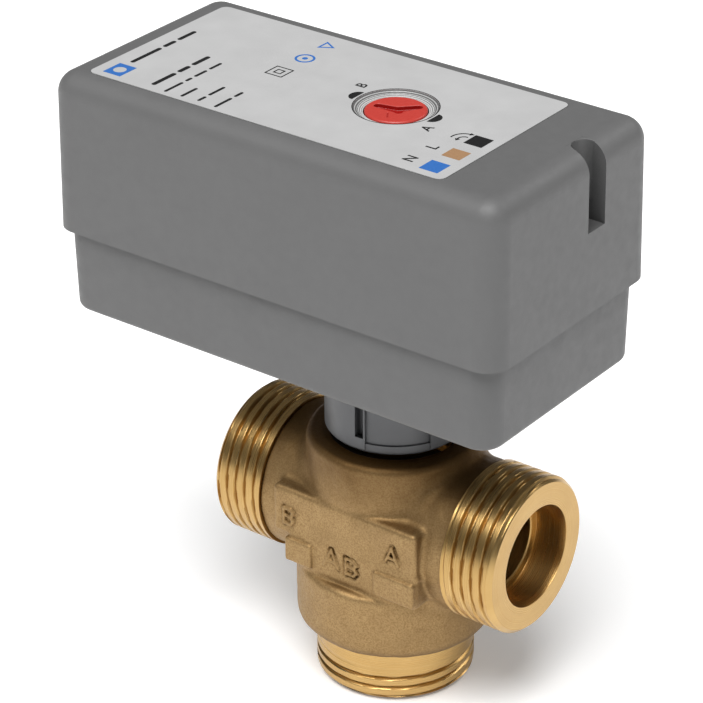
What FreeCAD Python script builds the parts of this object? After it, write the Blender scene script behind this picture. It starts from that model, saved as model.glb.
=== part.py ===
import FreeCAD, Part
import PartDesign, Sketcher
import math
import os
import re

# Three-port zone valve with a rotary actuator, in millimetres.
# Origin: centre of the end face of port AB. +Z runs up the stem, +X towards port A.

SIZES = {
    # valve casting
    "port_axis": 38.0, "port_reach": 35.0, "thread_radius": 16.6245, "thread_pitch": 2.309,
    "thread_depth": 1.479, "thread_length": 12.0, "thread_chamfer": 0.96, "collar_length": 11.9,
    "tube_radius": 16.0, "barrel_radius": 20.65, "barrel_foot_radius": 17.8, "barrel_foot": 3.1,
    "barrel_top": 34.0, "neck_start": 40.0, "neck_radius": 18.3, "neck_top": 56.3,
    "pad_plane": 18.2, "pad_half": 18.0, "pad_low": 27.4, "pad_high": 45.0, "pad_step": 34.0,
    "pad_step_left": 14.0, "boss_proud": 0.7, "relief_reach": 5.0,
    "boss_high": 34.0, "boss_low": 28.6, "boss_left": 7.6, "boss_right": 8.0,
    "bore_radius": 10.8, "bore_depth": 7.2, "passage_radius": 8.7,
    "chamber_radius": 13.6, "chamber_floor": 23.0, "bonnet_top": 55.0,
    # rotor, stem and seals
    "rotor_radius": 13.3, "rotor_low": 23.45, "rotor_high": 51.6, "rotor_rest": -60.0, "elbow_relief": 0.4,
    "washer_inner": 9.2, "washer_outer": 13.2, "washer_thick": 0.4,
    "seat_outer": 10.7, "seat_end": 16.5, "seat_gap": 0.1,
    "stem_radius": 5.0, "stem_bore": 5.05, "tongue_width": 4.0, "tongue_length": 8.6, "tongue_depth": 4.0,
    "tongue_play": 0.1,
    "square_low": 66.0, "square_high": 74.0, "square_side": 7.0, "square_socket": 7.1,
    "groove_radius": 3.9, "groove_height": 1.9, "groove_first": 54.0, "groove_pitch": 4.5,
    "ring_radius": 4.47, "ring_section": 0.55,
    "spigot_radius": 13.55, "spigot_low": 52.0, "collar_radius": 11.9, "collar_top": 64.0,
    "seal_radius": 12.95, "seal_section": 0.55, "seal_height": 53.5, "seal_groove": 12.35,
    "seal_groove_height": 1.65,
    "circlip_inner": 12.4, "circlip_outer": 14.5, "circlip_groove": 14.7, "circlip_thick": 1.0,
    "circlip_play": 0.1,
    # adapter under the actuator
    "adapter_low": 58.2, "adapter_high": 74.5, "adapter_radius": 14.5, "adapter_bore": 12.1,
    "adapter_flange": 17.2, "flange_thick": 1.8, "panel_depth": 0.6, "panel_half_angle": 27.0,
    "panel_high": 71.5, "panel_azimuth": -52.0, "slot_angle": 36.0, "slot_width": 1.9, "slot_low": 60.6,
    "adapter_screw_circle": 15.3, "adapter_screw_radius": 0.9, "adapter_screw_count": 4,
    "adapter_screw_turn": 45.0,
    # housing
    "housing_shift": -12.2, "base_low": 74.5, "split": 92.9, "cover_top": 126.9,
    "base_half_length": 52.8, "base_half_width": 25.8, "cover_half_length": 54.5, "cover_half_width": 27.05,
    "base_draft": 0.9, "cover_draft": 0.7, "corner": 5.0, "top_round": 4.7, "foot_round": 1.6, "wall": 2.0,
    "floor": 2.5, "lip_height": 3.0, "lip_thick": 1.5, "lip_inset": 1.0, "lip_round": 0.4, "floor_hole": 9.8,
    "label_left": -59.5, "label_right": 26.5, "label_front": -22.1, "label_back": 20.9,
    "label_corner": 1.6, "label_thick": 0.25, "label_hole": 8.4,
    "dial_top": 8.3, "dial_low": 6.5, "dial_depth": 0.8,
    "inlet_floor": 110.3, "inlet_front": 3.95, "inlet_width": 5.8, "inlet_back": 36.3, "inlet_wall": 1.4,
    "inlet_hole": 4.2, "inlet_length": 20.0, "inlet_overlap": 0.4,
    "boss_x": 46.0, "boss_y": 19.6, "boss_radius": 3.1, "screw_radius": 1.5, "screw_head": 2.6,
    "screw_head_height": 1.8, "screw_length": 26.0, "screw_play": 0.1, "screw_sink": 0.4, "boss_gap": 0.05,
    # drive
    "coupler_radius": 9.5, "coupler_low": 66.5, "coupler_high": 78.5, "shaft_radius": 4.0,
    "shaft_low": 75.0, "shaft_high": 123.0, "gear_low": 79.0, "gear_width": 5.0, "hub_radius": 7.0,
    "hub_top": 92.0, "cam_radius": 7.0, "cam_lobe": 9.0, "cam_low": 101.5, "cam_high": 104.5,
    "cam_lobe_half_angle": 20.0, "cam_hub_low": 95.5,
    "knob_radius": 6.2, "knob_low": 119.5, "knob_top": 126.5, "knob_groove": 1.3, "knob_round": 0.7,
    "arm_long": 4.8, "arm_short": 2.9, "arm_width": 1.7, "arm_spread": 109.0, "cam_hub_radius": 6.0,
    "socket_relief": 0.5, "pinion_gap": 1.2, "shaft_gap": 0.3, "hub_gap": 0.4, "pinion_extra": 0.6,
    # gear train
    "module_out": 1.0, "teeth_out": 40, "module_mid": 0.8, "teeth_mid": 36, "teeth_pinion": 12,
    "module_fast": 0.6, "teeth_fast": 34, "mid_low": 85.0, "mid_width": 3.0, "fast_low": 89.0,
    "fast_width": 2.4, "axle_radius": 1.5, "gear_bore": 1.55, "axle_low": 76.0,
    "motor_x": -43.0, "fast_angle": 60.0,
    "plate_low": 93.0, "plate_thick": 1.5, "plate_left": -61.0, "plate_right": 37.0, "plate_half": 16.0,
    "post_radius": 2.4, "post_left": -58.4, "post_right": 31.5, "post_y": 14.0,
    "post_screw": 1.1, "post_head": 1.9, "post_head_height": 1.3,
    "post_bore_depth": 6.0, "post_grip": 5.0,
    # motor
    "motor_radius": 18.6, "motor_height": 18.0, "can_wall": 0.8, "coil_inner": 12.2, "coil_outer": 17.4,
    "coil_height": 13.0, "magnet_radius": 11.9, "magnet_height": 11.5, "motor_shaft": 1.0,
    "shaft_extra": 7.0, "ear_radius": 3.0, "ear_reach": 22.6, "ear_hole": 1.2,
    # electrics
    "board_left": 13.0, "board_right": 36.0, "board_half": 15.5, "board_low": 98.0, "board_thick": 1.6,
    "board_hole_inset": 2.5, "board_hole_far": 13.0,
    "switch_length": 12.8, "switch_depth": 6.0, "switch_height": 6.5, "switch_x": 14.5, "switch_y": 10.6,
    "lever_thick": 0.35, "lever_length": 13.5, "lever_width": 3.0, "lever_gap": 0.9, "lever_pivot": 21.3,
    "lever_lift": 1.5,
    "terminal_x": 29.0, "terminal_depth": 6.8, "terminal_height": 9.0, "terminal_pitch": 5.0,
    "terminal_ways": 3, "terminal_hole": 1.5, "terminal_shift": 3.0, "way_lift": 3.0, "well_lift": 4.8,
    "screw_lift": 5.2, "terminal_screw_length": 2.4, "terminal_play": 0.05,
    # cutting tools reach this far past the piece
    "overcut": 1.0,
}
# Tolerance for telling edges apart, and the reach of a pie slice in radii.
NEAR = 0.01
SLICE_REACH = 4

doc = FreeCAD.newDocument("zone_valve")
sheet = doc.addObject("Spreadsheet::Sheet", "Sizes")
for row, (alias, value) in enumerate(SIZES.items(), start=1):
    sheet.set(f"A{row}", alias)
    sheet.set(f"B{row}", str(value))
    sheet.setAlias(f"B{row}", alias)
doc.recompute()
parts = {}


def size(alias):
    """Value of one cell of the sheet."""
    return float(sheet.get(alias))


def bind(thing, prop, formula):
    """Binds a property to a formula written with the sheet's aliases."""
    thing.setExpression(prop, re.sub(r"[a-z][a-z_]+", lambda word: "Sizes." + word.group(), str(formula)))


def place(thing, x=0, y=0, z=0, rotation=None):
    """Puts a piece at a point whose coordinates are formulas."""
    if rotation:
        thing.Placement = FreeCAD.Placement(FreeCAD.Vector(), rotation)
    for axis, formula in zip("xyz", (x, y, z)):
        bind(thing, f"Placement.Base.{axis}", formula)
    return thing


def turn(axis, degrees):
    vectors = {"x": (1, 0, 0), "y": (0, 1, 0), "z": (0, 0, 1)}
    return FreeCAD.Rotation(FreeCAD.Vector(*vectors[axis]), degrees)


ALONG_X = turn("y", 90)
ALONG_MINUS_X = turn("y", -90)


def cylinder(name, radius, length, x=0, y=0, z=0, rotation=None):
    thing = doc.addObject("Part::Cylinder", name)
    bind(thing, "Radius", radius)
    bind(thing, "Height", length)
    return place(thing, x, y, z, rotation)


def cone(name, low_radius, high_radius, length, x=0, y=0, z=0, rotation=None):
    thing = doc.addObject("Part::Cone", name)
    bind(thing, "Radius1", low_radius)
    bind(thing, "Radius2", high_radius)
    bind(thing, "Height", length)
    return place(thing, x, y, z, rotation)


def torus(name, radius, section, z):
    thing = doc.addObject("Part::Torus", name)
    bind(thing, "Radius1", radius)
    bind(thing, "Radius2", section)
    return place(thing, z=z)


def box(name, length, width, height, x=0, y=0, z=0, rotation=None):
    thing = doc.addObject("Part::Box", name)
    bind(thing, "Length", length)
    bind(thing, "Width", width)
    bind(thing, "Height", height)
    return place(thing, x, y, z, rotation)


def fuse(name, *pieces):
    thing = doc.addObject("Part::MultiFuse", name)
    thing.Shapes = list(pieces)
    return thing


def cut(name, base, *tools):
    thing = doc.addObject("Part::Cut", name)
    thing.Base = base
    thing.Tool = tools[0] if len(tools) == 1 else fuse(name + "_tools", *tools)
    return thing


def common(name, first, second):
    thing = doc.addObject("Part::MultiCommon", name)
    thing.Shapes = [first, second]
    return thing


def group(name, *pieces):
    """Several separate solids kept as one compound."""
    thing = doc.addObject("Part::Compound", name)
    thing.Links = list(pieces)
    return thing


def drawn(name, shape):
    """A shape made by Part's own functions."""
    thing = doc.addObject("Part::Feature", name)
    thing.Shape = shape
    return thing


def keep(node, thing):
    """Names a finished sub-part after its node."""
    thing.Label = node
    parts[node] = thing
    return thing


def ring(name, outer, inner, length, x=0, y=0, z=0, rotation=None):
    return cut(name, cylinder(name + "_outer", outer, length, x, y, z, rotation),
               cylinder(name + "_inner", inner, length, x, y, z, rotation))


def origin_plane(body, role):
    return next(item for item in body.Origin.OriginFeatures if item.Role == role)


def rounded_block(name, half_length, half_width, height, draft, corner, edge_round, z, flip=False):
    """A drafted block with rounded upright corners and one rounded end, as a PartDesign body."""
    body = doc.addObject("PartDesign::Body", name)
    sketch = body.newObject("Sketcher::SketchObject", name + "_outline")
    sketch.AttachmentSupport = [(origin_plane(body, "XY_Plane"), "")]
    sketch.MapMode = "FlatFace"
    corners = [FreeCAD.Vector(-1, -1), FreeCAD.Vector(1, -1), FreeCAD.Vector(1, 1), FreeCAD.Vector(-1, 1)]
    for first, second in zip(corners, corners[1:] + corners[:1]):
        sketch.addGeometry(Part.LineSegment(first, second))
    for index in range(4):
        sketch.addConstraint(Sketcher.Constraint("Coincident", index, 2, (index + 1) % 4, 1))
    for index, kind in enumerate(("Horizontal", "Vertical", "Horizontal", "Vertical")):
        sketch.addConstraint(Sketcher.Constraint(kind, index))
    sketch.addConstraint(Sketcher.Constraint("Symmetric", 0, 1, 1, 2, -1, 1))
    for kind, line, formula in (("DistanceX", 0, half_length), ("DistanceY", 1, half_width)):
        number = sketch.addConstraint(Sketcher.Constraint(kind, line, 1, line, 2, 2.0))
        sketch.renameConstraint(number, kind)
        bind(sketch, f"Constraints.{kind}", f"2 * ({formula})")
    pad = body.newObject("PartDesign::Pad", name + "_pad")
    pad.Profile = sketch
    bind(pad, "Length", height)
    bind(pad, "TaperAngle", draft)
    doc.recompute()
    upright = [f"Edge{number}" for number, edge in enumerate(pad.Shape.Edges, start=1)
               if edge.BoundBox.ZLength > NEAR]
    corners_round = body.newObject("PartDesign::Fillet", name + "_corners")
    corners_round.Base = (pad, upright)
    bind(corners_round, "Radius", corner)
    doc.recompute()
    top = pad.Shape.BoundBox.ZMax
    rim = [f"Edge{number}" for number, edge in enumerate(corners_round.Shape.Edges, start=1)
           if edge.BoundBox.ZMin > top - NEAR]
    rim_round = body.newObject("PartDesign::Fillet", name + "_rim")
    rim_round.Base = (corners_round, rim)
    bind(rim_round, "Radius", edge_round)
    doc.recompute()
    place(body, "housing_shift", 0, z, turn("x", 180) if flip else None)
    return body


def polar(radius, degrees, z=0.0):
    angle = math.radians(degrees)
    return FreeCAD.Vector(radius * math.cos(angle), radius * math.sin(angle), z)


def polygon_face(points):
    return Part.Face(Part.makePolygon(points + points[:1]))


# ---- gear geometry -------------------------------------------------------------------------

PRESSURE = math.radians(20)
ADDENDUM = 0.9
DEDENDUM = 1.2
BACKLASH = 0.14


def involute(angle):
    return math.tan(angle) - angle


def half_tooth(radius, teeth, module):
    """Half the angle a tooth takes up at a radius, in radians."""
    pitch = teeth * module / 2
    base = pitch * math.cos(PRESSURE)
    at_pitch = (math.pi / 2 - BACKLASH) / teeth
    local = math.acos(min(1.0, base / radius))
    return at_pitch + involute(PRESSURE) - involute(local)


def gear_shape(teeth, module, width, phase, bore):
    """Spur gear from z = 0 upwards with one tooth centred on the phase, given in degrees."""
    teeth = int(teeth)
    pitch = teeth * module / 2
    radii = (pitch - DEDENDUM * module, pitch, pitch + ADDENDUM * module)
    points = []
    for tooth in range(teeth):
        middle = phase + 360 * tooth / teeth
        flank = [(radius, math.degrees(half_tooth(radius, teeth, module))) for radius in radii]
        points += [polar(radius, middle - half) for radius, half in flank]
        points += [polar(radius, middle + half) for radius, half in reversed(flank)]
    blank = polygon_face(points).extrude(FreeCAD.Vector(0, 0, width))
    return blank.cut(Part.makeCylinder(bore, width)) if bore else blank


def heading(start, end):
    return math.degrees(math.atan2(end.y - start.y, end.x - start.x))


def gear_centres():
    """Axes of the output gear, the two idlers and the motor pinion."""
    pinion = size("teeth_pinion")
    out_to_mid = size("module_out") * (size("teeth_out") + pinion) / 2
    mid_to_fast = size("module_mid") * (size("teeth_mid") + pinion) / 2
    fast_to_motor = size("module_fast") * (size("teeth_fast") + pinion) / 2
    output = FreeCAD.Vector()
    motor = FreeCAD.Vector(size("motor_x"), 0, 0)
    fast = motor + polar(fast_to_motor, size("fast_angle"))
    span = fast.Length
    along = (out_to_mid ** 2 - mid_to_fast ** 2 + span ** 2) / (2 * span)
    across = math.sqrt(out_to_mid ** 2 - along ** 2)
    unit = fast / span
    middle = unit * along + FreeCAD.Vector(-unit.y, unit.x, 0) * across
    return output, middle, fast, motor


OUTPUT, MIDDLE, FAST, MOTOR = gear_centres()
HALF_PINION_TOOTH = 180 / size("teeth_pinion")


# ---- valve ---------------------------------------------------------------------------------

def thread_shape(length):
    """Male pipe thread as separate rings, its end face at z = 0 and its root end at z = length."""
    crest = size("thread_radius")
    root = crest - size("thread_depth")
    pitch = size("thread_pitch")
    flat = pitch / 7
    flank = (pitch - 2 * flat) / 2
    chamfer = size("thread_chamfer")
    points = [FreeCAD.Vector(), FreeCAD.Vector(crest - chamfer, 0, 0), FreeCAD.Vector(crest, 0, chamfer)]
    height = chamfer + flat
    while height + pitch < size("thread_length"):
        points.append(FreeCAD.Vector(crest, 0, height))
        points.append(FreeCAD.Vector(root, 0, height + flank))
        points.append(FreeCAD.Vector(root, 0, height + flank + flat))
        points.append(FreeCAD.Vector(crest, 0, height + 2 * flank + flat))
        height += pitch
    points.append(FreeCAD.Vector(crest, 0, length))
    points.append(FreeCAD.Vector(0, 0, length))
    return polygon_face(points).revolve(FreeCAD.Vector(), FreeCAD.Vector(0, 0, 1), 360)


def threaded_end(name, length, x, z, rotation):
    return place(drawn(name, thread_shape(length)), x, 0, z, rotation)


def front_pad(name, side):
    """Flat lettering pad on the front (side -1) or back (side 1) of the casting, with two bosses."""
    front = "-pad_plane" if side < 0 else "0"
    boss_front = "-pad_plane - boss_proud" if side < 0 else "0"
    upper = box(name + "_upper", "2 * pad_half", "pad_plane", "pad_high - pad_step",
                "-pad_half", front, "pad_step")
    lower = box(name + "_lower", "pad_half + pad_step_left", "pad_plane", "pad_step - pad_low",
                "-pad_step_left", front, "pad_low")
    right = box(name + "_right", "pad_half - boss_right", "pad_plane + boss_proud", "boss_high - boss_low",
                "boss_right", boss_front, "boss_low")
    left = box(name + "_left", "pad_step_left - boss_left", "pad_plane + boss_proud", "boss_high - boss_low",
               "-pad_step_left", boss_front, "boss_low")
    return upper, lower, right, left


def pad_relief(name, side):
    """Space cut out of the barrel in front of a lettering pad."""
    y = "-pad_plane - relief_reach" if side < 0 else "pad_plane"
    return box(name, "2 * pad_half", "relief_reach", "pad_high - pad_low", "-pad_half", y, "pad_low")


def make_valve_body():
    shell = fuse(
        "casting_shell",
        cone("casting_foot", "barrel_foot_radius", "barrel_radius", "barrel_foot", z="collar_length"),
        cylinder("casting_barrel", "barrel_radius", "barrel_top - collar_length - barrel_foot",
                 z="collar_length + barrel_foot"),
        cone("casting_shoulder", "barrel_radius", "neck_radius", "neck_start - barrel_top", z="barrel_top"),
    )
    relieved = cut("casting_relieved", shell, pad_relief("relief_front", -1), pad_relief("relief_back", 1))
    outside = fuse(
        "casting_outside", relieved,
        cylinder("casting_neck", "neck_radius", "neck_top - neck_start", z="neck_start"),
        cylinder("casting_tube", "tube_radius", "2 * (port_reach - thread_length)",
                 "thread_length - port_reach", 0, "port_axis", ALONG_X),
        threaded_end("thread_ab", size("collar_length"), 0, 0, None),
        threaded_end("thread_a", size("thread_length"), "port_reach", "port_axis", ALONG_MINUS_X),
        threaded_end("thread_b", size("thread_length"), "-port_reach", "port_axis", ALONG_X),
        *front_pad("pad_front", -1), *front_pad("pad_back", 1),
    )
    hollows = [
        cylinder("bore_ab", "bore_radius", "bore_depth"),
        cylinder("passage_ab", "passage_radius", "chamber_floor"),
        cylinder("chamber", "chamber_radius", "neck_top - chamber_floor", z="chamber_floor"),
        cylinder("clip_groove", "circlip_groove", "circlip_thick + circlip_play", z="bonnet_top"),
        cylinder("passage_through", "passage_radius", "2 * port_reach",
                 "-port_reach", 0, "port_axis", ALONG_X),
        cylinder("seat_pockets", "seat_outer", "2 * seat_end", "-seat_end", 0, "port_axis", ALONG_X),
        cylinder("bore_a", "bore_radius", "bore_depth", "port_reach - bore_depth", 0, "port_axis", ALONG_X),
        cylinder("bore_b", "bore_radius", "bore_depth", "-port_reach", 0, "port_axis", ALONG_X),
    ]
    keep("valve_body", cut("valve_casting", outside, *hollows))


def make_seats():
    for letter, x in (("a", "0"), ("b", "-seat_end")):
        sleeve = ring(f"seat_sleeve_{letter}", "seat_outer", "passage_radius", "seat_end",
                      x, 0, "port_axis", ALONG_X)
        keep(f"seat_ring_{letter}", cut(f"seat_{letter}", sleeve,
             cylinder(f"seat_{letter}_hollow", "rotor_radius + seat_gap", "rotor_high", z=0)))
    keep("rotor_washer", ring("washer", "washer_outer", "washer_inner", "washer_thick", z="chamber_floor"))


def make_rotor():
    plug = cylinder("rotor_plug", "rotor_radius", "rotor_high - rotor_low", z="rotor_low")
    rise = cylinder("rotor_rise", "passage_radius", "port_axis - rotor_low", z="rotor_low")
    elbow = place(doc.addObject("Part::Sphere", "rotor_elbow"), z="port_axis")
    bind(elbow, "Radius", "passage_radius + elbow_relief")
    window = cylinder("rotor_window", "passage_radius", "2 * rotor_radius", 0, 0, "port_axis",
                      turn("z", size("rotor_rest")).multiply(ALONG_X))
    slot = box("rotor_slot", "tongue_length + tongue_play", "tongue_width + tongue_play",
               "tongue_depth + tongue_play", "-(tongue_length + tongue_play) / 2",
               "-(tongue_width + tongue_play) / 2", "rotor_high - tongue_depth - tongue_play")
    keep("valve_rotor", cut("rotor", plug, rise, elbow, window, slot))


def make_stem():
    shaft = cylinder("stem_round", "stem_radius", "square_low - rotor_high", z="rotor_high")
    square = box("stem_square", "square_side", "square_side", "square_high - square_low",
                 "-square_side / 2", "-square_side / 2", "square_low")
    tongue = common("stem_tongue",
                    box("tongue_blade", "tongue_length", "tongue_width", "tongue_depth",
                        "-tongue_length / 2", "-tongue_width / 2", "rotor_high - tongue_depth"),
                    cylinder("tongue_round", "stem_radius", "tongue_depth", z="rotor_high - tongue_depth"))
    grooves = [ring(f"stem_groove_{number}", "stem_radius + overcut", "groove_radius", "groove_height",
                    z=f"groove_first + {number} * groove_pitch") for number in range(2)]
    keep("stem", cut("stem_turned", fuse("stem_blank", shaft, square, tongue), *grooves))
    seals = [torus(f"stem_seal_{number}", "ring_radius", "ring_section",
                   f"groove_first + {number} * groove_pitch + groove_height / 2") for number in range(2)]
    keep("stem_o_rings", group("stem_seals", *seals))


def make_bonnet():
    blank = fuse("bonnet_blank",
                 cylinder("bonnet_spigot", "spigot_radius", "bonnet_top - spigot_low", z="spigot_low"),
                 cylinder("bonnet_collar", "collar_radius", "collar_top - bonnet_top", z="bonnet_top"))
    groove = ring("bonnet_groove", "spigot_radius + overcut", "seal_groove", "seal_groove_height",
                  z="seal_height - seal_groove_height / 2")
    hole = cylinder("bonnet_hole", "stem_bore", "collar_top - spigot_low", z="spigot_low")
    keep("bonnet", cut("bonnet_turned", blank, groove, hole))
    keep("bonnet_o_ring", torus("bonnet_seal", "seal_radius", "seal_section", "seal_height"))
    circlip = ring("circlip_full", "circlip_outer", "circlip_inner", "circlip_thick", z="bonnet_top")
    gap = box("circlip_gap", "circlip_outer", "stem_radius", "circlip_thick",
              0, "-stem_radius / 2", "bonnet_top")
    keep("retaining_ring", cut("circlip", circlip, gap))


# ---- actuator housing ----------------------------------------------------------------------

def sector(name, radius, half_angle, middle, low, high):
    """Pie slice about the stem axis, angles and heights from the sheet."""
    points = [FreeCAD.Vector(), polar(radius, middle - half_angle), polar(radius, middle + half_angle)]
    shape = polygon_face(points).extrude(FreeCAD.Vector(0, 0, high - low))
    return place(drawn(name, shape), z=low)


def adapter_screw_points():
    """Centres of the screws that hold the adapter to the base."""
    count = int(size("adapter_screw_count"))
    first = size("panel_azimuth") + size("adapter_screw_turn")
    return [polar(size("adapter_screw_circle"), first + 360 * number / count) for number in range(count)]


def make_adapter():
    tube = cylinder("adapter_tube", "adapter_radius", "adapter_high - adapter_low", z="adapter_low")
    flange = cylinder("adapter_plate", "adapter_flange", "flange_thick", z="adapter_high - flange_thick")
    hole = cylinder("adapter_hole", "adapter_bore", "adapter_high - adapter_low", z="adapter_low")
    skin = ring("adapter_skin", "adapter_radius + overcut", "adapter_radius - panel_depth",
                "panel_high - adapter_low", z="adapter_low")
    cuts = []
    for number, azimuth in enumerate((size("panel_azimuth"), size("panel_azimuth") + 180)):
        slice_ = sector(f"adapter_slice_{number}", SLICE_REACH * size("adapter_radius"),
                        size("panel_half_angle"), azimuth, size("adapter_low"), size("panel_high"))
        cuts.append(common(f"adapter_panel_{number}", skin, slice_))
        for side in (-1, 1):
            angle = azimuth + side * size("slot_angle")
            cuts.append(box(f"adapter_slot_{number}_{'left' if side < 0 else 'right'}",
                            "adapter_radius + overcut", "slot_width", "panel_high - slot_low",
                            0, 0, "slot_low", turn("z", angle)))
    for number, point in enumerate(adapter_screw_points()):
        cuts.append(cylinder(f"adapter_screw_hole_{number}", "adapter_screw_radius", "flange_thick",
                             point.x, point.y, "adapter_high - flange_thick"))
    keep("adapter_ring", cut("adapter", fuse("adapter_blank", tube, flange), hole, *cuts))
    screws = []
    for number, point in enumerate(adapter_screw_points()):
        shank = cylinder(f"adapter_shank_{number}", "adapter_screw_radius", "flange_thick + floor",
                         point.x, point.y, "adapter_high - flange_thick")
        head = cylinder(f"adapter_head_{number}", "2 * adapter_screw_radius", "adapter_screw_radius",
                        point.x, point.y, "base_low + floor")
        screws.append(fuse(f"adapter_screw_{number}", shank, head))
    keep("adapter_screws", group("adapter_screw_set", *screws))


def corner_points():
    """Centres of the four corner screws, as formulas."""
    return [(f"housing_shift + {sx} * boss_x", f"{sy} * boss_y") for sx in (-1, 1) for sy in (-1, 1)]


def make_base():
    height = "split - base_low"
    outside = rounded_block("base_outside", "base_half_length", "base_half_width", height, "-base_draft",
                            "corner", "foot_round", "split", flip=True)
    hollow = rounded_block("base_hollow", "base_half_length - wall", "base_half_width - wall",
                           "split - base_low - floor", "-base_draft", "corner - wall", "foot_round",
                           "split", flip=True)
    lip_outer = rounded_block("lip_outside", "base_half_length - lip_inset", "base_half_width - lip_inset",
                              "2 * lip_height", "0", "corner - lip_inset", "lip_round",
                              "split - lip_height")
    lip_inner = rounded_block("lip_inside", "base_half_length - lip_inset - lip_thick",
                              "base_half_width - lip_inset - lip_thick", "4 * lip_height", "0",
                              "corner - lip_inset - lip_thick", "lip_round", "split - 2 * lip_height")
    shell = cut("base_shell", outside, hollow)
    lip = cut("base_lip", lip_outer, lip_inner)
    solids = [shell, lip]
    holes = [cylinder("base_stem_hole", "floor_hole", "floor", z="base_low")]
    for number, (x, y) in enumerate(corner_points()):
        solids.append(cylinder(f"base_boss_{number}", "boss_radius", "split - base_low - floor",
                               x, y, "base_low + floor"))
        holes.append(cylinder(f"base_boss_hole_{number}", "screw_radius + screw_play", "split - base_low",
                              x, y, "base_low"))
        holes.append(cylinder(f"base_boss_sink_{number}", "screw_head + screw_play",
                              "screw_head_height + screw_sink", x, y, "base_low"))
    for number, centre in enumerate((MIDDLE, FAST)):
        holes.append(cylinder(f"base_axle_hole_{number}", "axle_radius", "base_low + floor - axle_low",
                              centre.x, centre.y, "axle_low"))
    for number, point in enumerate(adapter_screw_points()):
        holes.append(cylinder(f"base_adapter_hole_{number}", "adapter_screw_radius", "floor",
                              point.x, point.y, "base_low"))
    keep("base_housing", cut("base", fuse("base_solid", *solids), *holes))


def make_cover():
    height = "cover_top - split"
    outside = rounded_block("cover_outside", "cover_half_length", "cover_half_width", height, "-cover_draft",
                            "corner", "top_round", "split")
    hollow = rounded_block("cover_hollow", "cover_half_length - wall", "cover_half_width - wall",
                           "cover_top - split - wall", "-cover_draft", "corner - wall", "top_round - wall",
                           "split")
    channel_wall = common(
        "inlet_walls",
        box("inlet_block", "inlet_length", "inlet_width + 2 * inlet_wall",
            "cover_top - inlet_floor + inlet_wall", "inlet_back - inlet_wall", "inlet_front - inlet_wall",
            "inlet_floor - inlet_wall"),
        doc.getObject("cover_outside"))
    posts = []
    holes = []
    for number, (x, y) in enumerate(corner_points()):
        posts.append(cylinder(f"cover_post_{number}", "boss_radius", "cover_top - wall - split - boss_gap",
                              x, y, "split + boss_gap"))
        holes.append(cylinder(f"cover_post_hole_{number}", "screw_radius",
                              "screw_length - split + base_low + overcut", x, y, "split"))
    inside = fuse("cover_inside", channel_wall, *posts)
    shell = fuse("cover_shell", cut("cover_skin", outside, hollow), inside)
    slot = box("inlet_slot", "inlet_length", "inlet_width", "cover_top - inlet_floor",
               "inlet_back", "inlet_front", "inlet_floor")
    hole = box("inlet_hole_cut", "2 * inlet_wall + inlet_overlap", "inlet_width", "inlet_hole",
               "inlet_back - 2 * inlet_wall", "inlet_front", "inlet_floor")
    dial = cone("dial_cone", "dial_low", "dial_top", "dial_depth", z="cover_top - dial_depth")
    bore = cylinder("dial_bore", "dial_low", "2 * wall", z="cover_top - 2 * wall")
    keep("cover_housing", cut("cover", shell, slot, hole, dial, bore, *holes))


def make_cover_screws():
    screws = []
    for number, (x, y) in enumerate(corner_points()):
        shank = cylinder(f"cover_shank_{number}", "screw_radius", "screw_length - screw_head_height",
                         x, y, "base_low + screw_head_height + screw_sink")
        head = cylinder(f"cover_head_{number}", "screw_head", "screw_head_height",
                        x, y, "base_low + screw_sink")
        screws.append(fuse(f"cover_screw_{number}", shank, head))
    keep("cover_screws", group("cover_screw_set", *screws))


def make_label():
    plate = box("label_plate", "label_right - label_left", "label_back - label_front", "label_thick",
                "label_left", "label_front", "cover_top")
    doc.recompute()
    upright = [number for number, edge in enumerate(plate.Shape.Edges, start=1)
               if abs(edge.Vertexes[0].Z - edge.Vertexes[-1].Z) > NEAR]
    rounded = doc.addObject("Part::Fillet", "label_rounded")
    rounded.Base = plate
    rounded.Edges = [(number, size("label_corner"), size("label_corner")) for number in upright]
    window = cylinder("label_window", "label_hole", "label_thick", z="cover_top")
    keep("label", cut("label_cut", rounded, window))


# ---- drive ---------------------------------------------------------------------------------

def make_coupler_and_shaft():
    hub = cylinder("coupler_hub", "coupler_radius", "coupler_high - coupler_low", z="coupler_low")
    socket = box("coupler_socket", "square_socket", "square_socket",
                 "square_high - coupler_low + socket_relief", "-square_socket / 2", "-square_socket / 2",
                 "coupler_low")
    top = cylinder("coupler_bore", "shaft_radius", "coupler_high - shaft_low", z="shaft_low")
    keep("drive_coupler", cut("coupler", hub, socket, top))
    keep("output_shaft", cylinder("output_rod", "shaft_radius", "shaft_high - shaft_low", z="shaft_low"))


def make_output_gear():
    teeth = gear_shape(size("teeth_out"), size("module_out"), size("gear_width"), heading(OUTPUT, MIDDLE),
                       size("shaft_radius"))
    disc = place(drawn("output_teeth", teeth), z="gear_low")
    hub = ring("output_hub", "hub_radius", "shaft_radius", "hub_top - gear_low", z="gear_low")
    keep("output_gear", fuse("output_wheel", disc, hub))


def make_cam():
    disc = cylinder("cam_disc_round", "cam_radius", "cam_high - cam_low", z="cam_low")
    sweep = sector("cam_slice", SLICE_REACH * size("cam_radius"), size("cam_lobe_half_angle"),
                   size("rotor_rest"), size("cam_low"), size("cam_high"))
    lobe_disc = cylinder("cam_lobe_round", "cam_lobe", "cam_high - cam_low", z="cam_low")
    lobe = common("cam_lobe_piece", lobe_disc, sweep)
    hub = cylinder("cam_hub", "cam_hub_radius", "cam_high - cam_hub_low", z="cam_hub_low")
    keep("cam_disc", cut("cam", fuse("cam_blank", disc, lobe, hub),
                         cylinder("cam_bore", "shaft_radius", "cam_high - cam_hub_low", z="cam_hub_low")))


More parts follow.
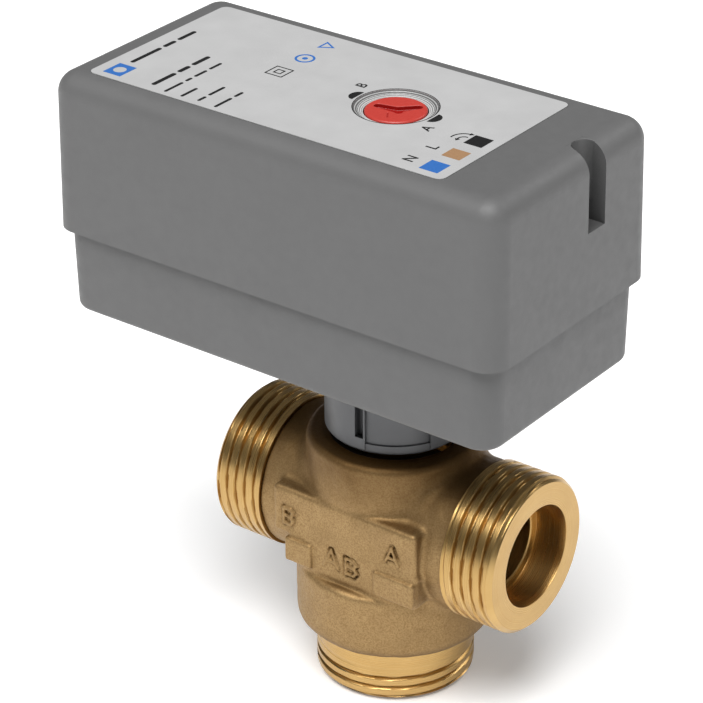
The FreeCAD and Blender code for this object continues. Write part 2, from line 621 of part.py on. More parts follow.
def make_knob():
    """Round dial with a recess of two long arms and one short arm."""
    body = cylinder("knob_round_body", "knob_radius", "knob_top - knob_low", z="knob_low")
    doc.recompute()
    rim = [number for number, edge in enumerate(body.Shape.Edges, start=1)
           if edge.BoundBox.ZMin > size("knob_top") - NEAR]
    rounded = doc.addObject("Part::Fillet", "knob_edge")
    rounded.Base = body
    rounded.Edges = [(number, size("knob_round"), size("knob_round")) for number in rim]
    pointer = size("rotor_rest")
    spread = size("arm_spread")
    reaches = (("arm_short", 0), ("arm_long", spread), ("arm_long", -spread))
    arms = []
    for number, (length, offset) in enumerate(reaches):
        side = polar(size("arm_width") / 2, pointer + offset - 90)
        arms.append(box(f"knob_arm_{number}", length, "arm_width", "knob_groove", side.x, side.y,
                        "knob_top - knob_groove", turn("z", pointer + offset)))
    bore = cylinder("knob_bore", "shaft_radius", "shaft_high - knob_low", z="knob_low")
    keep("position_knob", cut("knob", rounded, bore, *arms))


def compound_gear(node, centre, wheel, pinion):
    """Wheel and pinion on one hub. Each is (teeth, module, width, phase, height)."""
    pieces = []
    for number, (teeth, module, width, phase, height) in enumerate((wheel, pinion)):
        shape = gear_shape(teeth, module, width, phase, size("gear_bore"))
        pieces.append(place(drawn(f"{node}_teeth_{number}", shape), centre.x, centre.y, height))
    keep(node, fuse(node + "_solid", *pieces))


def make_gears():
    pinion = size("teeth_pinion")
    mid_low, fast_low = size("mid_low"), size("fast_low")
    compound_gear(
        "reduction_gear_1", MIDDLE,
        (size("teeth_mid"), size("module_mid"), size("mid_width"), heading(MIDDLE, FAST), mid_low),
        (pinion, size("module_out"), mid_low - size("gear_low"),
         heading(MIDDLE, OUTPUT) + HALF_PINION_TOOTH, size("gear_low")))
    compound_gear(
        "reduction_gear_2", FAST,
        (size("teeth_fast"), size("module_fast"), size("fast_width"), heading(FAST, MOTOR), fast_low),
        (pinion, size("module_mid"), fast_low - mid_low, heading(FAST, MIDDLE) + HALF_PINION_TOOTH, mid_low))
    axles = [cylinder(f"axle_{number}", "axle_radius", "plate_low + plate_thick - axle_low",
                      centre.x, centre.y, "axle_low") for number, centre in enumerate((MIDDLE, FAST))]
    keep("gear_axles", group("axle_set", *axles))


def post_points():
    return [(x, f"{side} * post_y") for x in ("post_left", "post_right") for side in (-1, 1)]


def make_plate():
    plate = box("plate_blank", "plate_right - plate_left", "2 * plate_half", "plate_thick",
                "plate_left", "-plate_half", "plate_low")
    holes = [cylinder("plate_shaft_hole", "hub_radius + hub_gap", "plate_thick", z="plate_low"),
             cylinder("plate_motor_hole", "module_fast * teeth_pinion / 2 + pinion_gap", "plate_thick",
                      MOTOR.x, MOTOR.y, "plate_low")]
    for number, centre in enumerate((MIDDLE, FAST)):
        holes.append(cylinder(f"plate_axle_hole_{number}", "axle_radius", "plate_thick",
                              centre.x, centre.y, "plate_low"))
    posts = []
    screws = []
    for number, (x, y) in enumerate(post_points()):
        holes.append(cylinder(f"plate_post_hole_{number}", "post_screw", "plate_thick", x, y, "plate_low"))
        post = cylinder(f"post_body_{number}", "post_radius", "plate_low - base_low - floor",
                        x, y, "base_low + floor")
        depth = cylinder(f"post_bore_{number}", "post_screw", "post_bore_depth", x, y,
                         "plate_low - post_bore_depth")
        posts.append(cut(f"post_{number}", post, depth))
        shank = cylinder(f"plate_shank_{number}", "post_screw", "plate_thick + post_grip", x, y,
                         "plate_low - post_grip")
        head = cylinder(f"plate_head_{number}", "post_head", "post_head_height",
                        x, y, "plate_low + plate_thick")
        screws.append(fuse(f"plate_screw_{number}", shank, head))
    holes.append(cylinder("plate_ear_hole", "ear_hole", "plate_thick", EAR.x, EAR.y, "plate_low"))
    keep("gear_plate", cut("plate", plate, *holes))
    keep("plate_posts", group("post_set", *posts))
    keep("plate_screws", group("plate_screw_set", *screws))


# ---- motor ---------------------------------------------------------------------------------

EAR = MOTOR + FreeCAD.Vector(size("ear_reach"), 0, 0)


def make_motor():
    foot = "plate_low + plate_thick"
    can = cylinder("can_outer", "motor_radius", "motor_height", MOTOR.x, MOTOR.y, foot)
    hollow = cylinder("can_inner", "motor_radius - can_wall", "motor_height - 2 * can_wall",
                      MOTOR.x, MOTOR.y, foot + " + can_wall")
    ear = box("can_ear", "ear_reach + ear_radius", "2 * ear_radius", "can_wall",
              MOTOR.x, f"{MOTOR.y} - ear_radius", foot)
    ear_hole = cylinder("can_ear_hole", "ear_hole", "can_wall", EAR.x, EAR.y, foot)
    shaft_hole = cylinder("can_shaft_hole", "motor_shaft + shaft_gap", "can_wall", MOTOR.x, MOTOR.y, foot)
    keep("motor_can", cut("can", fuse("can_blank", can, ear), hollow, ear_hole, shaft_hole))
    middle = foot + " + (motor_height - coil_height) / 2"
    keep("motor_coil", ring("coil", "coil_outer", "coil_inner", "coil_height", MOTOR.x, MOTOR.y, middle))
    magnet = cylinder("magnet", "magnet_radius", "magnet_height", MOTOR.x, MOTOR.y,
                      foot + " + (motor_height - magnet_height) / 2")
    shaft = cylinder("magnet_shaft", "motor_shaft", "fast_width + shaft_extra + magnet_height",
                     MOTOR.x, MOTOR.y, "fast_low")
    keep("motor_rotor", fuse("rotor_magnet", magnet, shaft))
    pinion = gear_shape(size("teeth_pinion"), size("module_fast"), size("fast_width") + size("pinion_extra"),
                        heading(MOTOR, FAST) + HALF_PINION_TOOTH, size("motor_shaft"))
    keep("motor_pinion", place(drawn("pinion_teeth", pinion), MOTOR.x, MOTOR.y, "fast_low"))
    shank = cylinder("motor_shank", "ear_hole", "plate_thick + can_wall", EAR.x, EAR.y, "plate_low")
    head = cylinder("motor_head", "post_head", "post_head_height", EAR.x, EAR.y, foot + " + can_wall")
    keep("motor_screw", fuse("motor_screw_solid", shank, head))


# ---- electrics -----------------------------------------------------------------------------

def make_board():
    board = box("board_blank", "board_right - board_left", "2 * board_half", "board_thick",
                "board_left", "-board_half", "board_low")
    holes = []
    spacers = []
    places = [(f"board_left + {inset}", f"{side} * (board_half - board_hole_inset)")
              for inset in ("board_hole_inset", "board_hole_far") for side in (-1, 1)]
    for number, (x, y) in enumerate(places):
        holes.append(cylinder(f"board_hole_{number}", "post_screw", "board_thick", x, y, "board_low"))
        spacers.append(cylinder(f"board_spacer_{number}", "post_radius",
                                "board_low - plate_low - plate_thick", x, y, "plate_low + plate_thick"))
    keep("circuit_board", cut("board", board, *holes))
    keep("board_spacers", group("spacer_set", *spacers))


def make_switches():
    """Two end switches beside the cam, each with its own lever."""
    top = "board_low + board_thick"
    for letter, side in (("a", 1), ("b", -1)):
        y = "switch_y" if side > 0 else "-switch_y - switch_depth"
        keep(f"limit_switch_{letter}", box(f"switch_{letter}_case", "switch_length", "switch_depth",
                                           "switch_height", "switch_x", y, top))
        lever_y = "switch_y - lever_thick - lever_gap" if side > 0 else "-switch_y + lever_gap"
        keep(f"switch_lever_{letter}", box(f"lever_{letter}", "lever_length", "lever_thick", "lever_width",
                                           "lever_pivot - lever_length", lever_y, top + " + lever_lift"))


def make_terminal():
    top = "board_low + board_thick"
    width = "terminal_ways * terminal_pitch"
    block = box("terminal_case", "terminal_depth", width, "terminal_height",
                "terminal_x", f"-({width}) / 2 - terminal_shift", top)
    holes = []
    screws = []
    for number in range(int(size("terminal_ways"))):
        y = f"-({width}) / 2 - terminal_shift + terminal_pitch * ({number} + 0.5)"
        holes.append(cylinder(f"terminal_way_{number}", "terminal_hole", "terminal_depth", "terminal_x", y,
                              top + " + way_lift", ALONG_X))
        holes.append(cylinder(f"terminal_well_{number}", "terminal_hole", "terminal_height - well_lift",
                              "terminal_x + terminal_depth / 2", y, top + " + well_lift"))
        screws.append(cylinder(f"terminal_screw_{number}", "terminal_hole - terminal_play",
                               "terminal_screw_length", "terminal_x + terminal_depth / 2", y,
                               top + " + screw_lift"))
    keep("terminal_block", cut("terminal", block, *holes))
    keep("terminal_screws", group("terminal_screw_set", *screws))


# ---- build ---------------------------------------------------------------------------------

make_valve_body()
make_seats()
make_rotor()
make_stem()
make_bonnet()
make_adapter()
make_base()
make_cover()
make_cover_screws()
make_label()
make_coupler_and_shaft()
make_output_gear()
make_cam()
make_knob()
make_gears()
make_plate()
make_motor()
make_board()
make_switches()
make_terminal()
doc.recompute()

faults = [thing.Name for thing in doc.Objects if "Invalid" in thing.State or "Error" in thing.State]
faults += [node for node, thing in parts.items() if thing.Shape.isNull() or not thing.Shape.isValid()]
if faults:
    raise SystemExit("faulty objects: " + ", ".join(faults))

os.makedirs("parts", exist_ok=True)
for node, thing in parts.items():
    thing.Shape.exportStep(f"parts/{node}.step")
    print(f"{node}: {len(thing.Shape.Solids)} solids, {thing.Shape.Volume:.1f} mm3")
print("gear axes", [(round(point.x, 4), round(point.y, 4)) for point in (MIDDLE, FAST, MOTOR)])
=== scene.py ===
import math

import bmesh
import bpy
import numpy as np
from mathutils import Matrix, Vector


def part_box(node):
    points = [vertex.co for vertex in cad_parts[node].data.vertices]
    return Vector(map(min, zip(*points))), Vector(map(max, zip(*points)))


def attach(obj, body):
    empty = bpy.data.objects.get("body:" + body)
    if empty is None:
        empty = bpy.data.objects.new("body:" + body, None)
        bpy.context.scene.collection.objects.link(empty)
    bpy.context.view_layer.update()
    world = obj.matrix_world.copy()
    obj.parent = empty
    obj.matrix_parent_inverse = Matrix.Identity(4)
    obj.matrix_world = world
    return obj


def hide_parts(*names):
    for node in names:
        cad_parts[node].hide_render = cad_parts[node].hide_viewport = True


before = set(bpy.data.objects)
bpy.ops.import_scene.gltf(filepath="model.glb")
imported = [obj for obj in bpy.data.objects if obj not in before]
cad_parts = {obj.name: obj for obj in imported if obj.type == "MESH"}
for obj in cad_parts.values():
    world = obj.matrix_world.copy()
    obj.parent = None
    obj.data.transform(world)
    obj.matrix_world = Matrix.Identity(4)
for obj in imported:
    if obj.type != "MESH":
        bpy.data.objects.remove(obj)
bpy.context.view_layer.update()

import openvdb as vdb
from mathutils import Matrix, Vector

# Three-port zone valve with a rotary actuator. Shapes are built in millimetres and stored in metres,
# in the frame of the CAD model: origin at the end face of port AB, +Z up the stem, +X towards port A.

MM = 0.001


def corners(node):
    """Lowest and highest corner of a CAD node, in millimetres."""
    low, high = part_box(node)
    return np.array(low) / MM, np.array(high) / MM


BODY_HIGH = corners("valve_body")[1]
LABEL_LOW, LABEL_HIGH = corners("label")
KNOB_LOW, KNOB_HIGH = corners("position_knob")
REACH = float(BODY_HIGH[0])
NECK_TOP = float(BODY_HIGH[2])
PORT_AXIS = 38.0

# ---- mesh helpers --------------------------------------------------------------------------


def add_piece(name, body, mesh, material, replaces=()):
    """Links a finished mesh, in metres, as a piece that rides on a CAD body."""
    piece = bpy.data.objects.new(name, mesh)
    bpy.context.scene.collection.objects.link(piece)
    mesh.materials.clear()
    mesh.materials.append(material)
    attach(piece, body)
    if replaces:
        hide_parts(*replaces)
    return piece


def mesh_of(name, points, faces, smooth=True):
    """Mesh from points in millimetres, with its normals facing out."""
    mesh = bpy.data.meshes.new(name)
    mesh.from_pydata([tuple(point) for point in np.asarray(points, float) * MM], [], faces)
    work = bmesh.new()
    work.from_mesh(mesh)
    bmesh.ops.recalc_face_normals(work, faces=work.faces)
    work.to_mesh(mesh)
    work.free()
    mesh.polygons.foreach_set("use_smooth", [smooth] * len(mesh.polygons))
    return mesh


def merged(name, meshes):
    """One mesh out of several."""
    work = bmesh.new()
    for mesh in meshes:
        work.from_mesh(mesh)
    whole = bpy.data.meshes.new(name)
    work.to_mesh(whole)
    work.free()
    return whole


def turned(name, loop, frame_of, steps=180):
    """Closed turned ring from (distance, radius) pairs. A radius may be a function of distance and angle."""
    angles = np.linspace(0, 2 * math.pi, steps, endpoint=False)
    rows = []
    for distance, radius in loop:
        value = radius(distance, angles) if callable(radius) else np.full(steps, float(radius))
        rows.append(frame_of(distance, value, angles))
    points = np.concatenate(rows)
    count = len(rows)
    faces = [(row * steps + step, row * steps + (step + 1) % steps,
              (row + 1) % count * steps + (step + 1) % steps, (row + 1) % count * steps + step)
             for row in range(count) for step in range(steps)]
    return mesh_of(name, points, faces)


def sharpen(mesh, degrees=35):
    """Smooth shading that keeps edges steeper than an angle sharp."""
    work = bmesh.new()
    work.from_mesh(mesh)
    limit = math.radians(degrees)
    for edge in work.edges:
        edge.smooth = len(edge.link_faces) == 2 and edge.calc_face_angle(0) < limit
    work.to_mesh(mesh)
    work.free()
    return mesh


# ---- distance fields -----------------------------------------------------------------------


class Block:
    """A box of voxels that shapes are added to or cut from as signed distances, in millimetres."""

    def __init__(self, low, high, step):
        self.low = np.array(low, float)
        self.step = step
        counts = np.ceil((np.array(high, float) - self.low) / step).astype(int) + 1
        axes = [self.low[axis] + step * np.arange(counts[axis]) for axis in range(3)]
        self.x, self.y, self.z = (axis.astype(np.float32).reshape(shape) for axis, shape in
                                  zip(axes, ((-1, 1, 1), (1, -1, 1), (1, 1, -1))))
        self.field = np.full(counts, 50.0, np.float32)

    def add(self, shape, blend=0.0):
        self.field = joined(self.field, shape, blend)

    def cut(self, shape, blend=0.0):
        self.field = -joined(-self.field, shape, blend)

    def mesh(self, name):
        grid = vdb.FloatGrid(10.0)
        grid.copyFromArray(np.ascontiguousarray(self.field, np.float32))
        points, quads = grid.convertToQuads(0.0)
        return mesh_of(name, points * self.step + self.low, [tuple(quad) for quad in quads.tolist()])


def joined(first, second, blend):
    """Union of two distance fields, smoothed over a blend width."""
    if blend <= 0:
        return np.minimum(first, second)
    reach = np.maximum(blend - np.abs(first - second), 0) / blend
    return np.minimum(first, second) - reach * reach * blend / 4


def rounded(across, along, edge):
    """Distance to a rounded profile from its distances across and along."""
    across = across + edge
    along = along + edge
    outside = np.sqrt(np.maximum(across, 0) ** 2 + np.maximum(along, 0) ** 2)
    return outside + np.minimum(np.maximum(across, along), 0) - edge


def upright_rod(block, radius, low, high, edge=0.0):
    across = np.sqrt(block.x ** 2 + block.y ** 2) - radius
    return rounded(across, np.abs(block.z - (low + high) / 2) - (high - low) / 2, edge)


def level_rod(block, radius, low, high, edge=0.0):
    across = np.sqrt(block.y ** 2 + (block.z - PORT_AXIS) ** 2) - radius
    return rounded(across, np.abs(block.x - (low + high) / 2) - (high - low) / 2, edge)


def slab(block, low, high, edge=0.0):
    sides = [np.abs(axis - (a + b) / 2) - (b - a) / 2 + edge
             for axis, a, b in zip((block.x, block.y, block.z), low, high)]
    outside = np.sqrt(sum(np.maximum(side, 0) ** 2 for side in sides))
    return outside + np.minimum(np.maximum(np.maximum(sides[0], sides[1]), sides[2]), 0) - edge


def stroke(block, start, end, radius):
    """Round-ended bar between two points."""
    start = np.array(start, float)
    span = np.array(end, float) - start
    rel = (block.x - start[0], block.y - start[1], block.z - start[2])
    share = sum(rel[axis] * span[axis] for axis in range(3)) / max(float(span @ span), 1e-9)
    share = np.clip(share, 0, 1)
    return np.sqrt(sum((rel[axis] - share * span[axis]) ** 2 for axis in range(3))) - radius


def ripple(shape, waves, height, seed):
    """Smooth random unevenness with features of about `waves` voxels."""
    noise = np.random.default_rng(seed).standard_normal(shape).astype(np.float32)
    spectrum = np.fft.rfftn(noise)
    parts = [np.fft.fftfreq(shape[0]).reshape(-1, 1, 1), np.fft.fftfreq(shape[1]).reshape(1, -1, 1),
             np.fft.rfftfreq(shape[2]).reshape(1, 1, -1)]
    spectrum *= np.exp(-2 * (math.pi * waves / 2) ** 2 * sum(part ** 2 for part in parts))
    smooth = np.fft.irfftn(spectrum, s=shape).astype(np.float32)
    return smooth / smooth.std() * height


# ---- materials -----------------------------------------------------------------------------


def colour(red, green, blue):
    """Linear colour from display values of 0 to 255."""
    shares = tuple(((value / 255 + 0.055) / 1.055) ** 2.4 if value > 10 else value / 255 / 12.92
                   for value in (red, green, blue))
    return shares + (1,)


class Paint:
    """A procedural material. Its patterns read object coordinates in millimetres."""

    def __init__(self, name, **sockets):
        self.material = bpy.data.materials.new(name)
        self.material.use_nodes = True
        self.tree = self.material.node_tree
        self.shader = self.tree.nodes["Principled BSDF"]
        for socket, value in sockets.items():
            self.shader.inputs[socket.replace("_", " ")].default_value = value
        place = self.node("ShaderNodeTexCoord").outputs["Object"]
        self.point = self.vector("SCALE", place, scale=1 / MM)
        self.normal = None

    def node(self, kind, **settings):
        made = self.tree.nodes.new(kind)
        for key, value in settings.items():
            setattr(made, key, value)
        return made

    def wire(self, value, socket):
        if isinstance(value, bpy.types.NodeSocket):
            self.tree.links.new(value, socket)
        elif value is not None:
            socket.default_value = value

    def vector(self, operation, first, second=None, scale=None):
        made = self.node("ShaderNodeVectorMath", operation=operation)
        self.wire(first, made.inputs[0])
        self.wire(second, made.inputs[1])
        if scale is not None:
            made.inputs[3].default_value = scale
        return made.outputs["Value" if operation in ("LENGTH", "DOT_PRODUCT") else "Vector"]

    def math(self, operation, first, second=None):
        made = self.node("ShaderNodeMath", operation=operation)
        self.wire(first, made.inputs[0])
        self.wire(second, made.inputs[1])
        return made.outputs[0]

    def noise(self, size, detail=2.0, roughness=0.5, stretch=None):
        """Noise with features of a size in millimetres, stretched along the axes."""
        point = self.vector("MULTIPLY", self.point, stretch) if stretch else self.point
        made = self.node("ShaderNodeTexNoise")
        self.wire(point, made.inputs["Vector"])
        made.inputs["Scale"].default_value = 1 / size
        made.inputs["Detail"].default_value = detail
        made.inputs["Roughness"].default_value = roughness
        return made.outputs["Fac"]

    def lathe_lines(self, size, axis, centre=(0, 0, 0), detail=3.0):
        """Lines left by a turning tool: noise over the distance from and along an axis."""
        away = self.vector("SUBTRACT", self.point, centre)
        along = self.vector("DOT_PRODUCT", away, axis)
        flat = self.vector("MULTIPLY", away, tuple(1 - value for value in axis))
        across = self.vector("LENGTH", flat)
        made = self.node("ShaderNodeTexNoise", noise_dimensions="1D")
        self.wire(self.math("ADD", along, across), made.inputs["W"])
        made.inputs["Scale"].default_value = 1 / size
        made.inputs["Detail"].default_value = detail
        made.inputs["Roughness"].default_value = 0.65
        return made.outputs["Fac"]

    def remap(self, value, low, high, start=0.3, end=0.7):
        made = self.node("ShaderNodeMapRange")
        self.wire(value, made.inputs["Value"])
        for key, number in (("From Min", start), ("From Max", end), ("To Min", low), ("To Max", high)):
            made.inputs[key].default_value = number
        return made.outputs["Result"]

    def blend(self, share, first, second, kind="MIX"):
        made = self.node("ShaderNodeMix", data_type="RGBA", blend_type=kind)
        self.wire(share, made.inputs["Factor"])
        self.wire(first, made.inputs[6])
        self.wire(second, made.inputs[7])
        return made.outputs[2]

    def bump(self, height, depth, strength=1.0):
        """Adds relief with a depth in millimetres."""
        made = self.node("ShaderNodeBump")
        made.inputs["Strength"].default_value = strength
        made.inputs["Distance"].default_value = depth * MM
        self.wire(height, made.inputs["Height"])
        self.wire(self.normal, made.inputs["Normal"])
        self.normal = made.outputs["Normal"]

    def done(self, base, roughness):
        self.wire(base, self.shader.inputs["Base Color"])
        self.wire(roughness, self.shader.inputs["Roughness"])
        self.wire(self.normal, self.shader.inputs["Normal"])
        return self.material


def cast_brass():
    paint = Paint("cast_brass", Metallic=0.82)
    grain = paint.noise(0.34, 3, 0.6)
    patches = paint.noise(5.0, 3, 0.55)
    base = paint.blend(paint.remap(patches, 0, 1), colour(162, 134, 92), colour(174, 145, 100))
    base = paint.blend(paint.remap(grain, 0, 0.75, 0.42, 0.62), base, colour(142, 112, 72))
    # Painted shade: darker colour in crevices, from ambient occlusion over 2.5 mm.
    hollow = paint.node("ShaderNodeAmbientOcclusion", samples=4)
    hollow.inputs["Distance"].default_value = 2.5 * MM
    base = paint.blend(paint.remap(hollow.outputs["AO"], 0.55, 0.0, 0.35, 0.9), base, colour(122, 88, 44))
    # Painted shade: darker colour where the housing and other parts overhang, from ambient occlusion over 30
    # mm.
    under = paint.node("ShaderNodeAmbientOcclusion", samples=6)
    under.inputs["Distance"].default_value = 30 * MM
    base = paint.blend(paint.remap(under.outputs["AO"], 0.95, 0.0, 0.3, 0.88), base, colour(96, 70, 32))
    # Painted shade: darker towards the top of the neck, where the housing shades it, with a wavy edge.
    height = paint.vector("DOT_PRODUCT", paint.point, (0, 0, 1))
    cloud = paint.remap(paint.noise(7.0, 2), -2.5, 2.5)
    painted_neck_shade = paint.remap(paint.math("ADD", height, cloud), 0.0, 0.72, NECK_TOP - 15.0, NECK_TOP - 1.5)
    base = paint.blend(painted_neck_shade, base, colour(92, 64, 28))
    paint.bump(paint.noise(0.9, 2, 0.5), 0.06, 0.6)
    paint.bump(grain, 0.045, 0.8)
    return paint.done(base, paint.remap(paint.noise(0.6, 2), 0.5, 0.64))


def turned_brass(name, axis, centre):
    paint = Paint(name, Metallic=1.0)
    lines = paint.lathe_lines(0.16, axis, centre)
    coarse = paint.lathe_lines(0.9, axis, centre)
    smear = paint.noise(6.0, 3, 0.6)
    base = paint.blend(paint.remap(smear, 0, 1), colour(188, 157, 105), colour(198, 167, 113))
    base = paint.blend(paint.remap(lines, 0, 0.75, 0.35, 0.65), base, colour(176, 136, 74))
    # Painted shade: darker colour in the thread grooves and other narrow hollows, from ambient occlusion
    # over 1.2 mm.
    hollow = paint.node("ShaderNodeAmbientOcclusion", samples=4)
    hollow.inputs["Distance"].default_value = 1.2 * MM
    base = paint.blend(paint.remap(hollow.outputs["AO"], 0.6, 0.0, 0.3, 0.8), base, colour(138, 100, 46))
    paint.bump(lines, 0.02, 0.9)
    paint.bump(coarse, 0.03, 0.6)
    return paint.done(base, paint.remap(lines, 0.24, 0.4))


def moulded(name, shade, grain=0.35, relief=0.012, rough=(0.46, 0.58), variation=0.025, **sockets):
    """Moulded plastic with a fine skin texture."""
    paint = Paint(name, **sockets)
    skin = paint.noise(grain, 2, 0.5)
    cloud = paint.noise(14.0, 3, 0.5)
    dark = tuple(value * (1 - variation) for value in shade[:3]) + (1,)
    light = tuple(min(1.0, value * (1 + variation)) for value in shade[:3]) + (1,)
    base = paint.blend(paint.remap(cloud, 0, 1), dark, light)
    base = paint.blend(paint.remap(skin, 0, 0.35), base, dark)
    hollow = paint.node("ShaderNodeAmbientOcclusion", samples=4)
    hollow.inputs["Distance"].default_value = 9 * MM
    shadow = tuple(value * 0.35 for value in shade[:3]) + (1,)
    base = paint.blend(paint.remap(hollow.outputs["AO"], 0.95, 0.0, 0.3, 0.8), base, shadow)
    paint.bump(skin, relief, 0.8)
    return paint.done(base, paint.remap(paint.noise(2.2, 3), *rough))


def metal(name, shade, grain, relief, rough, stretch=(1, 1, 1)):
    """Plated or drawn metal."""
    paint = Paint(name, Metallic=1.0)
    streaks = paint.noise(grain, 3, 0.6, stretch)
    dark = tuple(value * 0.72 for value in shade[:3]) + (1,)
    base = paint.blend(paint.remap(streaks, 0, 0.8), shade, dark)
    paint.bump(streaks, relief, 0.7)
    return paint.done(base, paint.remap(paint.noise(1.5, 2), *rough))


def winding():
    paint = Paint("copper_winding", Metallic=0.9)
    wave = paint.node("ShaderNodeTexWave", bands_direction="Z")
    paint.wire(paint.point, wave.inputs["Vector"])
    wave.inputs["Scale"].default_value = 1.1
    wave.inputs["Distortion"].default_value = 1.5
    base = paint.blend(paint.remap(wave.outputs["Fac"], 0, 1, 0, 1), colour(96, 44, 18), colour(190, 98, 48))
    paint.bump(wave.outputs["Fac"], 0.12, 0.9)
    return paint.done(base, paint.remap(paint.noise(0.7, 2), 0.28, 0.42))


def circuit():
    paint = Paint("solder_mask")
    tracks = paint.node("ShaderNodeTexBrick")
    paint.wire(paint.point, tracks.inputs["Vector"])
    for key, value in (("Scale", 0.25), ("Mortar Size", 0.05), ("Brick Width", 1.4), ("Row Height", 0.5)):
        tracks.inputs[key].default_value = value
    base = paint.blend(tracks.outputs["Fac"], colour(28, 92, 48), colour(46, 128, 66))
    paint.bump(tracks.outputs["Fac"], 0.04, 0.6)
    return paint.done(base, paint.remap(paint.noise(1.0, 2), 0.26, 0.4))


def film():
    """Satin printed film of the label."""
    paint = Paint("label_film")
    tint = paint.noise(9.0, 3, 0.5)
    base = paint.blend(paint.remap(tint, 0, 1), colour(174, 174, 174), colour(180, 180, 180))
    paint.bump(paint.noise(0.5, 2), 0.006, 0.6)
    return paint.done(base, paint.remap(paint.noise(3.0, 3), 0.4, 0.5))


def ink(name, shade):
    paint = Paint(name)
    speck = paint.noise(0.3, 3, 0.6)
    pale = tuple(min(1.0, value * 1.25 + 0.01) for value in shade[:3]) + (1,)
    base = paint.blend(paint.remap(speck, 0, 0.6), shade, pale)
    paint.bump(speck, 0.004, 0.6)
    return paint.done(base, paint.remap(speck, 0.36, 0.5))


def knob_plastic():
    """Semi-gloss red, with painted shade down in the pointer recess."""
    paint = Paint("knob_plastic")
    # Painted shade: darker red below the face, fading out towards the rim.
    depth = paint.vector("DOT_PRODUCT", paint.point, (0, 0, 1))
    recess_painted_shade = paint.remap(depth, 1, 0, float(KNOB_HIGH[2]) - 0.22, float(KNOB_HIGH[2]) - 0.06)
    reach = paint.vector("LENGTH", paint.vector("MULTIPLY", paint.point, (1, 1, 0)))
    recess_painted_shade = paint.math("MULTIPLY", recess_painted_shade, paint.remap(reach, 1, 0, 5.1, 5.5))
    skin = paint.noise(0.5, 2)
    face = paint.blend(paint.remap(skin, 0, 1), colour(178, 54, 46), colour(186, 61, 52))
    base = paint.blend(recess_painted_shade, face, colour(146, 12, 8))
    paint.bump(skin, 0.006, 0.8)
    return paint.done(base, paint.remap(paint.noise(1.4, 3), 0.34, 0.44))


GREY = colour(95, 95, 95)
PAINTS = {
    "brass_cast": cast_brass(),
    "brass_turned": turned_brass("turned_brass_stem", (0, 0, 1), (0, 0, 0)),
    "seal_white": moulded("ptfe", colour(226, 226, 220), 0.6, 0.01, (0.4, 0.5), 0.03),
    "seal_black": moulded("nitrile", colour(30, 30, 31), 0.3, 0.015, (0.5, 0.66), 0.12),
    "steel": metal("zinc_plate", colour(196, 198, 202), 0.5, 0.008, (0.26, 0.4), (1, 1, 0.3)),
    "housing_grey": moulded("housing_plastic", GREY),
    # Dark steel, used as painted shade on the retaining ring.
    "shade_dark": metal("shade_dark_steel", colour(48, 46, 44), 0.4, 0.01, (0.5, 0.62)),
    "bezel": moulded("bezel_plastic", colour(190, 191, 190), 0.4, 0.006, (0.34, 0.44)),
    "adapter_grey": moulded("adapter_plastic", colour(93, 94, 96), 0.5, 0.008, (0.36, 0.46), 0.05),
    "label_print": film(),
    "knob_red": knob_plastic(),
    "gear_plastic": moulded("acetal", colour(232, 228, 214), 0.6, 0.006, (0.3, 0.4), 0.03),
    "coil_copper": winding(),
    "board_green": circuit(),
    "switch_black": moulded("switch_plastic", colour(44, 44, 47), 0.4, 0.01, (0.4, 0.52), 0.1),
}

# The retaining ring gets the dark steel, a painted shade standing in for the shadow under the adapter.
for name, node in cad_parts.items():
    slot = node.data.materials[0].name.split(".")[0]
    node.data.materials.clear()
    node.data.materials.append(PAINTS["shade_dark" if name == "retaining_ring" else slot])

# ---- valve casting -------------------------------------------------------------------------

TUBE_END = REACH - 12.0
COLLAR = 11.9
BORE = 10.8
PASSAGE = 8.7
BORE_DEPTH = 7.2
PAD = 18.2
PAD_HALF = 18.0
CHAMBER = 13.6
RING_GROOVE = 14.7
SEAT_BORE = 10.7
BOSS_PROUD = 0.95
BOSS_LOW, BOSS_HIGH = 28.4, 34.0
LETTER_CUT, LETTER_STROKE = 0.55, 0.4


def letter_bars(kind, left, low, width, height):
    """Centre lines of a cast port letter as bars in the plane of a pad."""
    right = left + width
    top = low + height
    middle = low + 0.52 * height
    centre = left + width / 2
    if kind == "A":
        return [((left, low), (centre, top)), ((centre, top), (right, low)),
                ((left + 0.22 * width, low + 0.32 * height), (right - 0.22 * width, low + 0.32 * height))]
    bow = left + 0.72 * width
    return [((left, low), (left, top)), ((left, top), (bow, top)), ((left, middle), (bow, middle)),
            ((left, low), (bow, low)), ((bow, top), (right, (top + middle) / 2 + 0.1)),
            ((right, (top + middle) / 2 + 0.1), (bow, middle)), ((bow, middle), (right, (low + middle) / 2)),
            ((right, (low + middle) / 2), (bow, low))]


